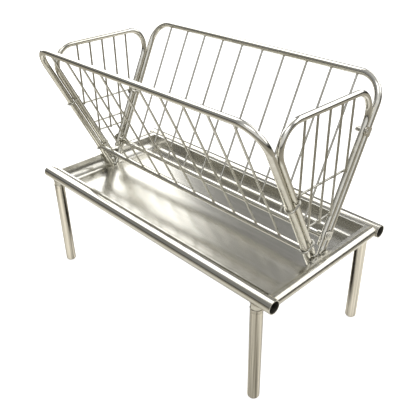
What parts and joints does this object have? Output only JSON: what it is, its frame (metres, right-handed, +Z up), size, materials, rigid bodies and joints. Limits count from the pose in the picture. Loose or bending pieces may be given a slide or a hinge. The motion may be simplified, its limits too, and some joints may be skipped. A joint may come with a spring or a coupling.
{
  "type": "dish drying rack",
  "caption": "Stainless dish drying rack: V-shaped wire basket with swinging end gates in a lift-out drip tray on a four-legged tube stand",
  "frame": {"origin": "on the worktop, under the middle of the rack", "axes": "+X along the long tubes to the right end, -Y to the front, +Z up"},
  "size_m": [0.661, 0.327, 0.5136],
  "materials": {
    "stand_tube": "polished stainless steel tube",
    "leg_tube": "satin stainless steel tube",
    "tray_sheet": "bright rolled stainless sheet, softly mirrored",
    "basket_tube": "polished stainless steel tube",
    "wire": "polished stainless steel wire",
    "fittings": "satin stainless steel"
  },
  "bodies": {
    "stand": {"front_long_tube": "stand_tube", "back_long_tube": "stand_tube", "left_end_tube": "stand_tube", "right_end_tube": "stand_tube", "leg_stubs": "stand_tube"},
    "front_left_leg_body": {"front_left_leg": "leg_tube"},
    "front_right_leg_body": {"front_right_leg": "leg_tube"},
    "back_left_leg_body": {"back_left_leg": "leg_tube"},
    "back_right_leg_body": {"back_right_leg": "leg_tube"},
    "tray": {"drip_tray": "tray_sheet"},
    "basket": {"left_foot_bracket": "fittings", "right_foot_bracket": "fittings", "front_panel_frame": "basket_tube", "front_low_rail": "basket_tube", "front_panel_wires": "wire", "back_panel_frame": "basket_tube", "back_low_rail": "basket_tube", "back_panel_wires": "wire", "left_hinge_rings": "wire", "right_hinge_rings": "wire"},
    "left_gate": {"left_gate_frame": "basket_tube", "left_gate_cross_wires": "wire", "left_gate_wires": "wire", "left_hook_straps": "fittings", "left_hook_bolts": "fittings", "left_hook_nuts": "fittings"},
    "right_gate": {"right_gate_frame": "basket_tube", "right_gate_cross_wires": "wire", "right_gate_wires": "wire", "right_hook_straps": "fittings", "right_hook_bolts": "fittings", "right_hook_nuts": "fittings"}
  },
  "joints": [
    {"name": "front_left_leg_pull", "type": "slide", "parent": "stand", "child": "front_left_leg_body", "axis": [0, 0, -1], "range_m": [0, 0.038]},
    {"name": "front_right_leg_pull", "type": "slide", "parent": "stand", "child": "front_right_leg_body", "axis": [0, 0, -1], "range_m": [0, 0.038]},
    {"name": "back_left_leg_pull", "type": "slide", "parent": "stand", "child": "back_left_leg_body", "axis": [0, 0, -1], "range_m": [0, 0.038]},
    {"name": "back_right_leg_pull", "type": "slide", "parent": "stand", "child": "back_right_leg_body", "axis": [0, 0, -1], "range_m": [0, 0.038]},
    {"name": "tray_lift", "type": "slide", "parent": "stand", "child": "tray", "axis": [0, 0, 1], "range_m": [0, 0.1]},
    {"name": "basket_lift", "type": "slide", "parent": "tray", "child": "basket", "axis": [0, 0, 1], "range_m": [0, 0.1]},
    {"name": "left_gate_swing", "type": "hinge", "parent": "basket", "child": "left_gate", "pos_m": [-0.2945, 0.00458, 0.20969], "axis": [0, -0.4384, 0.8988], "range_deg": [0, 60]},
    {"name": "right_gate_swing", "type": "hinge", "parent": "basket", "child": "right_gate", "pos_m": [0.2945, 0.00458, 0.20969], "axis": [0, 0.4384, -0.8988], "range_deg": [0, 60]}
  ]
}
